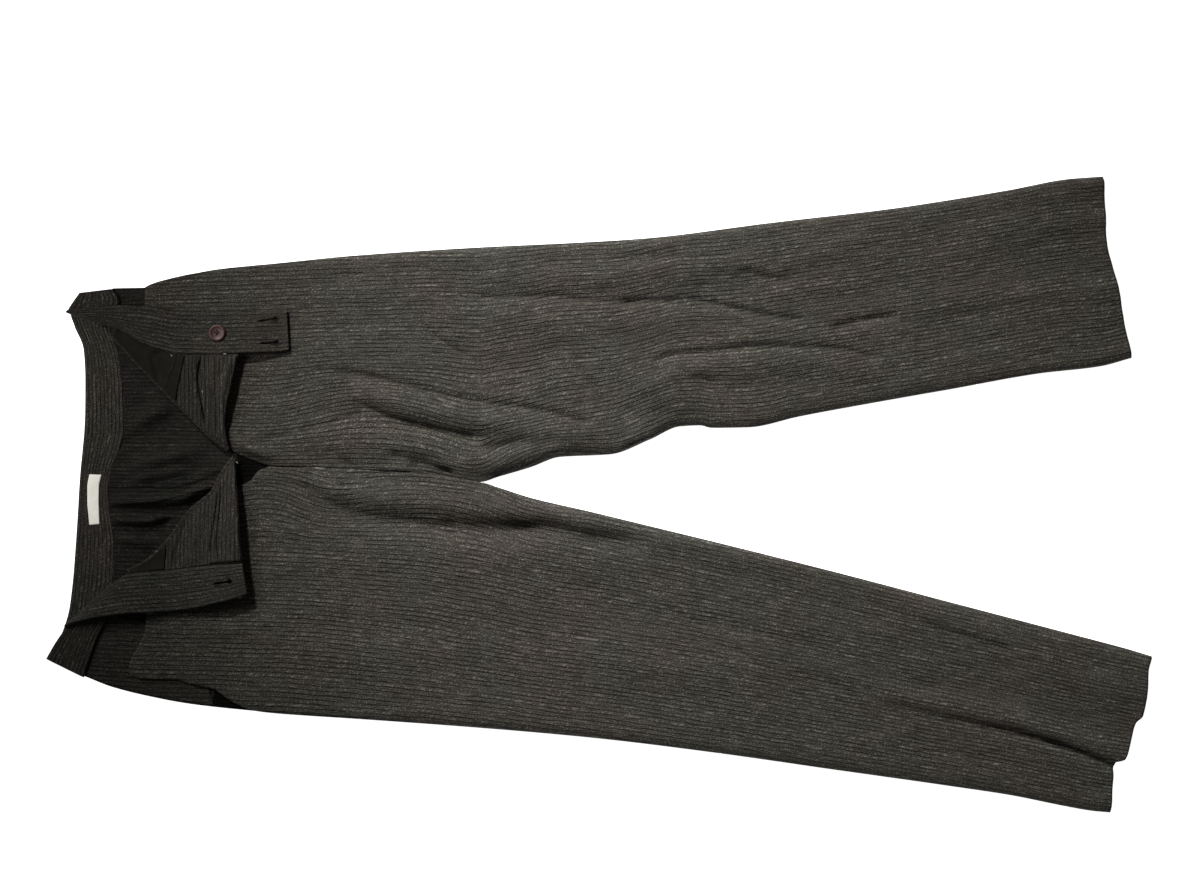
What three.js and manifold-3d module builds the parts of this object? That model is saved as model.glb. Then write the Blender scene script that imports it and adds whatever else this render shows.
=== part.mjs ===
// Pinstripe trousers laid flat on their back: hems to +X, waist to -X, the wearer's left leg to +Y.
// The waist is undone and both fronts are turned out, so the inside of the back and of the waistband shows.
// Places are written as the garment lies on a cutting table: millimetres from the table's far left corner,
// the first number to the right and the second towards the viewer. The part's frame is +Z up, origin under
// the middle of the garment.
import * as THREE from "three";
import { mergeVertices } from "three/addons/utils/BufferGeometryUtils.js";
import Module from "manifold-3d";

const wasm = await Module();
wasm.setup();

// Driving sizes, in millimetres
const middle = { right: 599.5, near: 494.5 }; // the table point under the part's origin
const clothWall = 1.2; // trouser cloth
const bandWall = 2.2; // waistband: cloth, interlining and cloth
const liningWall = 1.0; // pocket bag, fly pieces and label
const seamGap = 0.3; // between sewn pieces and between layers
const edgeRound = 14; // how far in from a leg's edge the front rises to its full height
const frontRise = 2.6; // how far the front lies above its own edge
const edgeHeight = clothWall * 1.5 + seamGap * 1.5; // middle of the front's wall where it meets the back
const turnColumns = 5; // steps round a turned-back fold
const crotch = 480; // where the legs part, to the right
const facingReach = { left: 60, right: 72 }; // how far a pocket facing reaches in from the side seam
const buttonSize = {
  radius: 8.3, thick: 3, rim: 1.6, dish: 0.8, holeRadius: 0.9, holeSpread: 1.9, drillDeep: 20,
};
const buttonhole = { slit: 1.0, eyelet: 1.7, deep: 30 };

// The garment's outlines, as pairs of how far along and how near
const frontSeam = [[273, 466], [310, 467], [350, 469], [425, 472], [455, 477], [480, 482]];
const leftSide = [
  [145, 287.2], [150, 284.5], [160, 281], [190, 274], [220, 269], [280, 263], [350, 256], [470, 248],
  [590, 242], [650, 238], [770, 223], [890, 209], [950, 200], [1010, 190], [1070, 179], [1104, 176.5],
];
const leftInner = [
  [145, 369], [163, 389], [190, 414], [217, 440], [229, 449.5], [243, 456.5], [256, 461.5],
  ...frontSeam, [500, 476], [530, 467], [560, 456.5],
  [610, 454], [650, 439], [680, 426], [700, 425], [712, 427.5], [748, 427], [800, 416], [890, 399.5],
  [950, 389], [1040, 373], [1100, 366], [1132, 357.5],
];
const rightSide = [
  [130, 675], [142, 679], [178, 680], [190, 684], [213, 689], [228, 699], [245, 708], [262, 712],
  [310, 716], [350, 718.5], [470, 727], [590, 737.5], [710, 752], [830, 769], [950, 786], [1010, 795],
  [1070, 807], [1094, 811], [1111, 812.5],
];
const rightInner = [
  [150, 561], [168, 542], [189, 515], [205, 501], [222, 490], [240, 485], [250, 481], [258, 471],
  ...frontSeam, [530, 498],
  [590, 512], [650, 526.5], [740, 548.5], [830, 571], [950, 602.5], [1070, 634], [1130, 650], [1152.7, 657],
];
const centreBack = [[107, 496], [150, 493], [212, 480], [300, 476], [400, 478], [480, 482]];

// Folds that the cloth lies in: a ridge runs along its path, so high above the cloth and so wide to each side
const leftFolds = [
  { path: [[352, 388], [420, 408], [480, 420], [540, 431], [592, 436]], high: 7, wide: 12 },
  { path: [[290, 436], [350, 441], [420, 447], [480, 452]], high: 4.5, wide: 14 },
  { path: [[588, 318], [618, 352], [648, 392], [700, 412]], high: 6, wide: 22 },
  { path: [[470, 276], [620, 273], [740, 262], [880, 240]], high: 3.2, wide: 13 },
  { path: [[440, 312], [520, 318], [620, 320], [740, 330], [830, 338]], high: 3, wide: 16 },
  { path: [[640, 377], [720, 366], [800, 362], [880, 372]], high: 4, wide: 13 },
  { path: [[880, 306], [960, 298], [1050, 290], [1130, 288]], high: 3.4, wide: 15 },
  { path: [[960, 236], [1040, 226], [1115, 214]], high: 2.6, wide: 14 },
  { path: [[436, 463], [480, 464], [530, 452], [590, 444]], high: 5, wide: 10 },
  { path: [[232, 441], [252, 452], [276, 458], [312, 460]], high: 2.6, wide: 9 },
  { path: [[320, 300], [400, 290], [480, 296]], high: 2.4, wide: 15 },
];
const rightFolds = [
  { path: [[290, 480], [340, 490], [400, 499], [470, 506], [540, 516], [620, 533]], high: 6.5, wide: 13 },
  { path: [[320, 548], [420, 556], [520, 556], [640, 572]], high: 3, wide: 20 },
  { path: [[790, 667], [880, 688], [950, 701], [1023, 719], [1062, 731], [1124, 754]], high: 8, wide: 11 },
  { path: [[880, 606], [947, 622], [1016, 648], [1080, 668]], high: 3, wide: 12 },
  { path: [[1010, 672], [1080, 684], [1150, 692]], high: 3.6, wide: 15 },
  { path: [[560, 640], [680, 662], [800, 700]], high: 2.6, wide: 22 },
  { path: [[270, 640], [360, 650], [470, 664]], high: 2.4, wide: 20 },
];
const backFolds = [
  { path: [[112, 499], [150, 500], [200, 493], [226, 484]], high: 3, wide: 7 },
  { path: [[112, 519], [140, 521], [168, 517]], high: 3, wide: 6 },
  { path: [[128, 466], [165, 458], [200, 453]], high: 3, wide: 9 },
  { path: [[126, 425], [160, 412], [180, 404]], high: 2.4, wide: 8 },
];

// The turned-back part of each front: where its lines leave the waistband seam, and where they end on the
// turned edge with that edge's height
const leftTurn = [
  { seam: [115], fold: [112.5, 334, 8.4] },
  { seam: [140], fold: [130, 354, 8.4] },
  { seam: [177], fold: [164, 390, 8.4] },
  { seam: [203], fold: [203, 427, 8.6] },
  { seam: [222], fold: [219, 441, 8.8] },
  { seam: [240], fold: [230, 449, 8.8] },
];
const rightTurn = [
  { seam: [131], fold: [129, 571, 9] },
  { seam: [150], fold: [147, 562, 9] },
  { seam: [167], fold: [169, 541, 9] },
  { seam: [190], fold: [192, 511, 9] },
  { seam: [209], fold: [214, 493, 9] },
  { seam: [226], fold: [223, 476, 9] },
  { seam: [245], fold: [236, 458, 9] },
];
const flyCurve = { left: -6, right: 0.5 }; // how far the free fly edge bows along the garment

// The waistband, from the side fold round to its end: its top edge and its sewn edge, with their heights
const bandLeft = [
  { top: [79.5, 292.8, 3.8], seam: [111.5, 289, 3.8] },
  { top: [73, 302, 4.2], seam: [119, 300, 4.4] },
  { top: [68.6, 309, 4.4], seam: [117, 316, 4.6] },
  { top: [67.6, 311.4, 5.4], seam: [107, 325, 5.6] },
  { top: [66.6, 311.6, 7.2], seam: [104, 326.5, 7.2] },
  { top: [67.6, 311, 9], seam: [105, 325.4, 8.8] },
  { top: [76, 309.4, 11], seam: [111, 326.8, 9.4] },
  { top: [95, 307.2, 12], seam: [126, 333, 9.2] },
  { top: [118, 305.6, 12], seam: [144, 343.4, 8.8] },
  { top: [146, 306.4, 10.6], seam: [163, 350.4, 8.6] },
  { top: [176, 310.6, 8.8], seam: [181, 354.2, 8.4] },
  { top: [208, 312, 8.3], seam: [209, 354.4, 8.4] },
  { top: [246, 311.6, 8.2], seam: [247, 353.6, 9.4] },
  { top: [274, 310.6, 8], seam: [275, 352.4, 8.6] },
  { top: [287.4, 310.2, 7.8], seam: [289.6, 350.6, 8] },
];
const bandRight = [
  { top: [46, 659, 3.8], seam: [83.5, 677.4, 3.8] },
  { top: [55, 643.6, 4.6], seam: [90.4, 656.4, 4.8] },
  { top: [63.6, 631.6, 5], seam: [97, 638, 5] },
  { top: [67.4, 628.4, 5], seam: [110, 610, 5] },
  { top: [66.4, 627, 6.4], seam: [113, 588, 5.8] },
  { top: [65.6, 626.2, 8.6], seam: [112, 585, 7.6] },
  { top: [67.6, 625.2, 10.8], seam: [115, 583, 9.2] },
  { top: [80.8, 620.4, 13], seam: [121, 578.4, 10] },
  { top: [101.2, 616, 14.4], seam: [130, 573.4, 10.2] },
  { top: [126.7, 613, 14.6], seam: [142, 571.8, 10.4] },
  { top: [150, 612, 13.6], seam: [157, 570.6, 10.6] },
  { top: [173, 610.6, 12.2], seam: [175, 569.4, 10.9] },
  { top: [196, 607.4, 11.6], seam: [196, 566.6, 11] },
  { top: [219, 602.4, 10.6], seam: [217, 564, 11] },
  { top: [236, 597.6, 9.4], seam: [233, 563.2, 10.6] },
  { top: [249.8, 592.8, 8.4], seam: [245.4, 562.4, 9.8] },
];
const bandBack = [
  { top: [80, 294.4], seam: [111, 290.4] },
  { top: [69.4, 310.6], seam: [108, 310] },
  { top: [73.8, 326], seam: [110, 330] },
  { top: [83, 350], seam: [117, 352] },
  { top: [84.6, 380], seam: [121.6, 380] },
  { top: [84.4, 412], seam: [123.2, 412] },
  { top: [83.6, 430], seam: [123.4, 430] },
  { top: [82, 448], seam: [119, 448] },
  { top: [80, 468], seam: [112, 467] },
  { top: [78.4, 490], seam: [107.6, 490] },
  { top: [77, 515], seam: [109.6, 515] },
  { top: [75, 545], seam: [113.8, 543] },
  { top: [72.4, 578], seam: [112.6, 578] },
  { top: [68.4, 610], seam: [108.6, 610] },
  { top: [60, 636], seam: [96.4, 638] },
  { top: [53, 648], seam: [90.5, 656] },
  { top: [46.6, 658.6], seam: [84, 676.8] },
];

// Table place and height to a point of the part's frame
const place = (right, near, high) => new THREE.Vector3(right - middle.right, middle.near - near, high);
const mix = (a, b, t) => a + (b - a) * t;
const ease = (from, to, x) => {
  const t = Math.min(1, Math.max(0, (x - from) / (to - from)));
  return t * t * (3 - 2 * t);
};

// A smooth curve through pairs of numbers, read at x; a straight end is carried on past the last pair
function curveAt(pairs, x) {
  const last = pairs.length - 2;
  let k = 0;
  while (k < last && x > pairs[k + 1][0]) k += 1;
  const slope = (i) => (pairs[i + 1][1] - pairs[i][1]) / (pairs[i + 1][0] - pairs[i][0]);
  const tangent = (i) => {
    if (i <= 0) return slope(0);
    if (i > last) return slope(last);
    const [before, after] = [slope(i - 1), slope(i)];
    return before * after <= 0 ? 0 : (2 * before * after) / (before + after);
  };
  const step = pairs[k + 1][0] - pairs[k][0];
  const t = (x - pairs[k][0]) / step;
  const [m0, m1] = [tangent(k) * step, tangent(k + 1) * step];
  const [y0, y1] = [pairs[k][1], pairs[k + 1][1]];
  if (t < 0) return y0 + m0 * t;
  if (t > 1) return y1 + m1 * (t - 1);
  return (
    y0 * (2 * t ** 3 - 3 * t ** 2 + 1) + m0 * (t ** 3 - 2 * t ** 2 + t) +
    y1 * (3 * t ** 2 - 2 * t ** 3) + m1 * (t ** 3 - t ** 2)
  );
}

// A row of a table of named number lists, read at a share of the table's length
function rowAt(table, share) {
  const at = share * (table.length - 1);
  const row = {};
  for (const name of Object.keys(table[0])) {
    row[name] = table[0][name].map((unused, axis) => curveAt(table.map((r, i) => [i, r[name][axis]]), at));
  }
  return row;
}

// The height that a list of folds adds at a place: each is a soft ridge that dies out at its two ends
function foldHeight(folds, right, near) {
  let most = 0;
  for (const fold of folds) {
    const ends = fold.path.map(([x]) => x);
    const [from, to] = [ends[0], ends[ends.length - 1]];
    const nearest = Math.min(to, Math.max(from, right));
    const across = near - curveAt(fold.path, nearest);
    const past = Math.max(0, Math.abs(right - (from + to) / 2) - (to - from) / 2);
    const fadeIn = ease(from - fold.wide, from + 3 * fold.wide, right);
    const fadeOut = to > 1100 ? 1 : 1 - ease(to - 3 * fold.wide, to + fold.wide, right);
    const soft = Math.exp(-((across / fold.wide) ** 2) - (past / (2 * fold.wide)) ** 2);
    most += fold.high * soft * fadeIn * fadeOut;
  }
  return most;
}

// A closed solid from a grid of points in the middle of a wall, so thick, its rim closed all round. An
// upright wall is moved out straight up and down, so that its rims stand beside a neighbour's.
function wallFrom(grid, thick, upright = false) {
  const [rows, columns] = [grid.length, grid[0].length];
  const step = (i, j, di, dj) => {
    const ahead = grid[Math.min(rows - 1, i + di)][Math.min(columns - 1, j + dj)];
    return ahead.clone().sub(grid[Math.max(0, i - di)][Math.max(0, j - dj)]);
  };
  const positions = [];
  for (const side of [1, -1]) {
    for (let i = 0; i < rows; i += 1) {
      for (let j = 0; j < columns; j += 1) {
        const normal = step(i, j, 1, 0).cross(step(i, j, 0, 1)).normalize();
        if (upright) normal.set(0, 0, 1 / normal.z);
        positions.push(...grid[i][j].clone().addScaledVector(normal, (side * thick) / 2).toArray());
      }
    }
  }
  const top = (i, j) => i * columns + j;
  const under = (i, j) => rows * columns + i * columns + j;
  const faces = [];
  const quad = (a, b, c, d) => faces.push(a, b, c, a, c, d);
  for (let i = 0; i < rows - 1; i += 1) {
    for (let j = 0; j < columns - 1; j += 1) {
      quad(top(i, j), top(i + 1, j), top(i + 1, j + 1), top(i, j + 1));
      quad(under(i, j), under(i, j + 1), under(i + 1, j + 1), under(i + 1, j));
    }
    quad(top(i, 0), under(i, 0), under(i + 1, 0), top(i + 1, 0));
    quad(top(i, columns - 1), top(i + 1, columns - 1), under(i + 1, columns - 1), under(i, columns - 1));
  }
  for (let j = 0; j < columns - 1; j += 1) {
    quad(top(0, j), top(0, j + 1), under(0, j + 1), under(0, j));
    quad(top(rows - 1, j), under(rows - 1, j), under(rows - 1, j + 1), top(rows - 1, j + 1));
  }
  const geometry = new THREE.BufferGeometry();
  geometry.setAttribute("position", new THREE.Float32BufferAttribute(positions, 3));
  geometry.setIndex(faces);
  return geometry;
}

const gridOf = (rows, columns, point) =>
  Array.from({ length: rows + 1 }, (unused, i) =>
    Array.from({ length: columns + 1 }, (none, j) => point(i / rows, j / columns)),
  );

// Boolean joins and cuts
function solidOf(geometry) {
  const bare = geometry.clone();
  bare.deleteAttribute("normal");
  bare.deleteAttribute("uv");
  const merged = mergeVertices(bare, 1e-4);
  return new wasm.Manifold(
    new wasm.Mesh({
      numProp: 3,
      vertProperties: new Float32Array(merged.attributes.position.array),
      triVerts: new Uint32Array(merged.index.array),
    }),
  );
}

function geometryOf(solid) {
  const mesh = solid.getMesh();
  const geometry = new THREE.BufferGeometry();
  geometry.setAttribute("position", new THREE.Float32BufferAttribute(mesh.vertProperties, 3));
  geometry.setIndex(new THREE.Uint32BufferAttribute(mesh.triVerts, 1));
  return geometry;
}

// Each front, from its waist to its hem: the rise of its wall, and its pocket mouth from the side inwards
const fronts = {
  left: {
    side: leftSide, inner: leftInner, folds: leftFolds,
    turn: leftTurn, bow: flyCurve.left, band: bandLeft,
    mouth: [[0, 145], [1, 145]],
    hem: [
      [0, 1103.6], [0.25, 1105], [0.36, 1106.5], [0.48, 1112], [0.64, 1118.5], [0.82, 1124.5], [1, 1132],
    ],
    facingEnd: 215, foldAway: [-0.7, 0.7], outward: -1,
  },
  right: {
    side: rightSide, inner: rightInner, folds: rightFolds,
    turn: rightTurn, bow: flyCurve.right, band: bandRight,
    mouth: [[0, 130], [0.1, 129], [0.3, 138], [0.45, 145.7], [1, 150]],
    hem: [
      [0, 1110.8], [0.2, 1112.5], [0.31, 1114.5], [0.33, 1122.5], [0.45, 1130], [0.56, 1135], [0.62, 1142.5],
      [0.78, 1146], [0.91, 1147.5], [1, 1152.6],
    ],
    facingEnd: 255, foldAway: [-0.7, -0.7], outward: 1,
  },
};
const facingLift = liningWall + 3 * seamGap;

// A waistband's sewn edge on the turned-back side: near and height for each place to the right
function sewnLine(band) {
  const turned = band.slice(band.findIndex(({ seam }) => seam[0] < 115 && seam[2] > 7));
  const near = turned.map(({ seam }) => [seam[0], seam[1]]);
  const high = turned.map(({ seam }) => [seam[0], seam[2]]);
  return (right) => [curveAt(near, right), curveAt(high, right)];
}

const innerLine = (front, right) => curveAt(front.inner, right) + front.outward * 1.3 * seamGap;

function frontHeight(front, right, near) {
  const fromSide = Math.abs(near - curveAt(front.side, right)) / edgeRound;
  const fromInner = Math.abs(near - innerLine(front, right)) / edgeRound;
  const seamed = ease(245, 285, right) * (1 - ease(crotch - 20, crotch + 40, right));
  const rise = (distance) => 1 - Math.max(0, 1 - distance) ** 2.4;
  const share = rise(fromSide) * Math.max(rise(fromInner), seamed);
  const lift = facingLift * (1 - ease(front.facingEnd - 30, front.facingEnd, right));
  const base = Math.max(edgeHeight + frontRise * share, edgeHeight + lift);
  return base + foldHeight(front.folds, right, near) * share;
}

function frontPoint(front, along, across) {
  const start = curveAt(front.mouth, across);
  const hem = curveAt(front.hem, across);
  const right = mix(start, hem, along);
  const near = mix(curveAt(front.side, right), innerLine(front, right), across);
  return place(right, near, frontHeight(front, right, near));
}

// The turned-back part: along runs from the waist to the fly, across from the waistband seam to the fold
function turnPoint(front, along, across, lift = 0) {
  const { seam, fold } = rowAt(front.turn, along);
  const [seamNear, seamHigh] = sewnLine(front.band)(seam[0]);
  const start = seamNear - front.outward * 2 * seamGap;
  const bow = front.bow * Math.sin(Math.PI * across ** 1.5) * along ** 3;
  const sag = 0.7 * Math.sin(Math.PI * across) * Math.sin(Math.PI * along);
  const high = mix(seamHigh, fold[2], across) - sag + lift;
  return place(mix(seam[0], fold[0], across) + bow, mix(start, fold[1], across), high);
}

// A front: the leg, joined along the fold to the part that is turned back over it
function makeFront(front) {
  const leg = wallFrom(gridOf(40, 12, (i, j) => frontPoint(front, i, j)), clothWall, true);
  const [rows, flatColumns, lip] = [12, 5, 5];
  const turned = gridOf(rows, flatColumns - 1, (i, j) => turnPoint(front, i, j));
  turned.forEach((row, i) => {
    const { fold } = rowAt(front.turn, i / rows);
    const under = frontHeight(front, fold[0], fold[1]);
    const [radius, centre] = [(fold[2] - under) / 2, (fold[2] + under) / 2];
    const [awayRight, awayNear] = front.foldAway;
    for (let k = 1; k <= turnColumns; k += 1) {
      const angle = (Math.PI * k) / turnColumns;
      const out = radius * Math.sin(angle);
      const high = centre + radius * Math.cos(angle);
      row.push(place(fold[0] + awayRight * out, fold[1] + awayNear * out, high));
    }
    row.push(place(fold[0] - awayRight * lip, fold[1] - awayNear * lip, under));
  });
  return geometryOf(solidOf(leg).add(solidOf(wallFrom(turned, clothWall * 0.9))));
}

// The waistband's sewn edge on the back, with the seam's gap: how far right for each place towards the viewer
const bandSeam = bandBack.map(({ seam }) => [seam[1], seam[0] + 4 * seamGap]);
function seamStart(nearAt) {
  let right = 110;
  for (let k = 0; k < 6; k += 1) right = curveAt(bandSeam, nearAt(right));
  return right;
}

// A back: flat on the floor from the waistband's sewn edge to the hem, in low folds where its inside shows
function makeBack(front, sideLine) {
  const apart = front.outward * seamGap;
  const sideNear = (right) => curveAt(sideLine, right);
  const innerNear = (right) => curveAt(right < crotch ? centreBack : front.inner, right) + apart;
  const inside = (right, near) =>
    ease(4, 20, near - curveAt(leftInner, right)) * ease(4, 20, curveAt(rightInner, right) - near);
  const grid = gridOf(32, 12, (i, j) => {
    const start = seamStart((right) => mix(sideNear(right), innerNear(right), j));
    const right = mix(start, curveAt(front.hem, j), i ** 1.3);
    const near = mix(sideNear(right), innerNear(right), j);
    return place(right, near, clothWall / 2 + foldHeight(backFolds, right, near) * inside(right, near));
  });
  return wallFrom(grid, clothWall, true);
}
const backSideLeft = [[100, 289.6], [112, 288], ...leftSide];
const backSideRight = [
  [86, 677.6], [110, 687], [145, 696], [190, 704.4], [250, 711], ...rightSide.slice(8),
];

// A pocket facing: a panel that lies on the back under the pocket's mouth, from the waistband downwards
function makeFacing(front, sideLine, reach) {
  const grid = gridOf(6, 6, (i, j) => {
    const nearAt = (right) => curveAt(sideLine, right) - front.outward * (1 + reach * j);
    const right = mix(seamStart(nearAt), front.facingEnd - 42 - 20 * j, i);
    return place(right, nearAt(right), clothWall + seamGap + liningWall / 2);
  });
  return wallFrom(grid, liningWall, true);
}

// A piece that lies on the turned-back inner face, made from that face's points moved up, between the
// given shares of the way along and across
function onTurn(front, along, across) {
  const lift = (clothWall * 0.9 + liningWall) / 2 + 1.5 * seamGap;
  const grid = gridOf(6, 4, (i, j) => turnPoint(front, mix(...along, i), mix(...across, j), lift));
  return wallFrom(grid, liningWall);
}

// A waistband from its table of rows, and its keyhole buttonholes
function makeBand(table, rows) {
  const grid = gridOf(rows, 3, (i, j) => {
    const { top, seam } = rowAt(table, i);
    const flat = bandWall / 2;
    const high = mix(top[2] ?? flat, seam[2] ?? flat, j);
    return place(mix(top[0], seam[0], j), mix(top[1], seam[1], j), high);
  });
  return wallFrom(grid, bandWall);
}

// An upright round pin about its own middle, for cutting holes
function uprightPin(radius, length, sides) {
  return new THREE.CylinderGeometry(radius, radius, length, sides).rotateX(Math.PI / 2);
}

function cutButtonholes(geometry, holes) {
  let solid = solidOf(geometry);
  for (const { end, eye } of holes) {
    const [from, to] = [place(...end, 0), place(...eye, 0)];
    const length = from.distanceTo(to);
    const { slit, eyelet, deep } = buttonhole;
    const slot = new THREE.BoxGeometry(length, slit, deep)
      .translate(length / 2, 0, deep / 2)
      .rotateZ(Math.atan2(to.y - from.y, to.x - from.x))
      .translate(from.x, from.y, 0);
    const eyeHole = uprightPin(eyelet, deep, 10).translate(to.x, to.y, deep / 2);
    solid = solid.subtract(solidOf(slot).add(solidOf(eyeHole)));
  }
  return geometryOf(solid);
}

// A button with a raised rim and four holes, its flat underside at the given height
function makeButton(right, near, high, turnedOver = false) {
  const { radius, thick, rim, dish, holeRadius, holeSpread, drillDeep } = buttonSize;
  const profile = [
    [0, 0], [radius - 1, 0], [radius, 0.9], [radius, thick - 0.7], [radius - 0.6, thick],
    [radius - rim, thick], [radius - rim - 0.9, thick - dish], [0, thick - dish],
  ].map(([x, y]) => new THREE.Vector2(x, y));
  const lathe = new THREE.LatheGeometry(profile, 28).rotateX(Math.PI / 2);
  let solid = solidOf(lathe);
  for (const [x, y] of [[1, 1], [-1, 1], [-1, -1], [1, -1]]) {
    const drill = uprightPin(holeRadius, drillDeep, 6).translate(x * holeSpread, y * holeSpread, 0);
    solid = solid.subtract(solidOf(drill));
  }
  if (turnedOver) solid = solid.rotate([180, 0, 0]).translate([0, 0, thick]);
  const at = place(right, near, high);
  return geometryOf(solid.translate([at.x, at.y, at.z]));
}

const group = new THREE.Group();
const looks = {
  cloth: { color: 0x2b2a28, roughness: 0.9, metalness: 0 },
  lining: { color: 0x2c2521, roughness: 0.9, metalness: 0 },
  label: { color: 0xcfc6b2, roughness: 0.8, metalness: 0 },
  button: { color: 0x5e3026, roughness: 0.35, metalness: 0 },
};
function add(name, geometry, look) {
  const mesh = new THREE.Mesh(geometry, new THREE.MeshStandardMaterial(looks[look]));
  mesh.name = name;
  group.add(mesh);
}

add("back_left", makeBack(fronts.left, backSideLeft), "cloth");
add("back_right", makeBack(fronts.right, backSideRight), "cloth");
add("front_left", makeFront(fronts.left), "cloth");
add("front_right", makeFront(fronts.right), "cloth");
add("pocket_facing_left", makeFacing(fronts.left, backSideLeft, facingReach.left), "cloth");
add("pocket_facing_right", makeFacing(fronts.right, backSideRight, facingReach.right), "cloth");

const leftHoles = [{ end: [259, 321.5], eye: [276, 319.6] }, { end: [262, 344], eye: [277.5, 342.8] }];
const rightHoles = [{ end: [217, 583], eye: [233, 580.4] }];
add("waistband_back", makeBand(bandBack, 24), "cloth");
add("waistband_left", cutButtonholes(makeBand(bandLeft, 30), leftHoles), "cloth");
add("waistband_right", cutButtonholes(makeBand(bandRight, 30), rightHoles), "cloth");

// What lies on the turned-back faces, by its shares along from the waist and across from the waistband
add("fly_facing", onTurn(fronts.left, [0.72, 0.985], [0.02, 0.97]), "cloth");
add("fly_shield", onTurn(fronts.right, [0.7, 0.99], [0.02, 0.985]), "cloth");
add("pocket_bag_left", onTurn(fronts.left, [0.02, 0.46], [0.02, 0.97]), "lining");
add("pocket_bag_right", onTurn(fronts.right, [0.02, 0.32], [0.03, 0.96]), "lining");

add("button_inner", makeButton(218.8, 333.5, 10.1), "button");
add("button_outer_top", makeButton(186.7, 580, 6.2, true), "button");
add("button_outer_low", makeButton(185.6, 601, 6.6, true), "button");

const labelEdges = [
  { left: [89, 474.4], right: [101, 474.8] },
  { left: [87, 487], right: [98.5, 486] },
  { left: [87, 503], right: [98.3, 500] },
  { left: [88, 514], right: [98.5, 513] },
  { left: [89, 525], right: [99, 524] },
];
add("label", wallFrom(gridOf(5, 1, (i, j) => {
  const { left, right } = rowAt(labelEdges, i);
  return place(mix(left[0], right[0], j), mix(left[1], right[1], j), bandWall + seamGap + liningWall / 2);
}), liningWall), "label");

export default group;
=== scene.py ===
import bmesh
import bpy
import numpy as np
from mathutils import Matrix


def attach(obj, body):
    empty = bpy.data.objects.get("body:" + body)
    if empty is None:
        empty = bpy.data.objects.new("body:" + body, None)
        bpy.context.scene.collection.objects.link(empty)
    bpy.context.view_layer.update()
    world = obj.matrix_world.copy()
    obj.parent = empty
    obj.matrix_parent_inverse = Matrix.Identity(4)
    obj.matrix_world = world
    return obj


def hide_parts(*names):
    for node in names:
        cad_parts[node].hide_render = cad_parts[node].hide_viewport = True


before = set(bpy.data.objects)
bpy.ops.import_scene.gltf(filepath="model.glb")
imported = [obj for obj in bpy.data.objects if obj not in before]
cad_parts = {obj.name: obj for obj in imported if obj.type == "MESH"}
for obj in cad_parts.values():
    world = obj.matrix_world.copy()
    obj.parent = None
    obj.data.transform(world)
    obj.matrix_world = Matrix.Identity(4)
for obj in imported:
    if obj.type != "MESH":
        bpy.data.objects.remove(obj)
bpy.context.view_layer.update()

# Places are millimetres on a cutting table, first to the right, then towards the viewer, as the garment
# lies on it; toFrame turns them into the frame's metres.
tableMiddle = {"right": 599.5, "near": 494.5}
wall = {"cloth": 1.2, "band": 2.2, "lining": 1.0, "seamGap": 0.3}
edgeHeight = wall["cloth"] * 1.5 + wall["seamGap"] * 1.5  # middle of a front's wall at its side seam
crotch = 480


def toFrame(right, near, high):
    # From the table's millimetres to the frame's metres: measured from its middle, with near turned round.
    right, near, high = np.broadcast_arrays(right, near, high)
    return np.stack([right - tableMiddle["right"], tableMiddle["near"] - near, high], axis=-1) * 0.001


def mix(a, b, t):  # a at 0, b at 1, straight between
    return a + (b - a) * t


def ease(start, end, x):  # 0 before start, 1 after end, smooth between
    t = np.clip((x - start) / (end - start), 0, 1)
    return t * t * (3 - 2 * t)


def curveAt(pairs, x):
    # Smooth curve through pairs: each tangent is the harmonic mean of its two slopes; ends go on straight.
    p, x = np.asarray(pairs, float), np.asarray(x, float)
    step = np.diff(p[:, 0])
    slope = np.diff(p[:, 1]) / step
    product, total = slope[:-1] * slope[1:], slope[:-1] + slope[1:]
    inner = np.where(product > 0, 2 * product / np.where(total == 0, 1, total), 0)
    tangent = np.concatenate([slope[:1], inner, slope[-1:]])
    k = np.clip(np.searchsorted(p[:, 0], x, side="left") - 1, 0, len(step) - 1)
    t = (x - p[k, 0]) / step[k]
    m0, m1, y0, y1 = tangent[k] * step[k], tangent[k + 1] * step[k], p[k, 1], p[k + 1, 1]
    inside = (y0 * (2 * t**3 - 3 * t**2 + 1) + m0 * (t**3 - 2 * t**2 + t)
              + y1 * (3 * t**2 - 2 * t**3) + m1 * (t**3 - t**2))
    return np.where(t < 0, y0 + m0 * t, np.where(t > 1, y1 + m1 * (t - 1), inside))


def rowAt(table, name, share):
    # One named line of a table, read at a share of its points, each of their numbers as a curve.
    line = np.asarray(table[name], float)
    at = np.asarray(share, float) * (len(line) - 1)
    index = np.arange(len(line), dtype=float)
    return [curveAt(np.stack([index, column], axis=1), at) for column in line.T]


def softNoise(x, y, seed):
    # Value noise from -1 to 1: random heights on a lattice, eased between its points.
    lattice = np.random.default_rng(seed).uniform(-1, 1, (97, 97))
    i, j = np.floor(x).astype(int), np.floor(y).astype(int)
    fx, fy = ease(0, 1, x - i), ease(0, 1, y - j)
    corner = lambda a, b: lattice[a % 97, b % 97]
    near = mix(corner(i, j), corner(i + 1, j), fx)
    far = mix(corner(i, j + 1), corner(i + 1, j + 1), fx)
    return mix(near, far, fy)


def shares(rows, columns):  # a grid's two shares, from 0 to 1 along its rows and its columns
    return np.meshgrid(np.linspace(0, 1, rows + 1), np.linspace(0, 1, columns + 1), indexing="ij")


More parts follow.
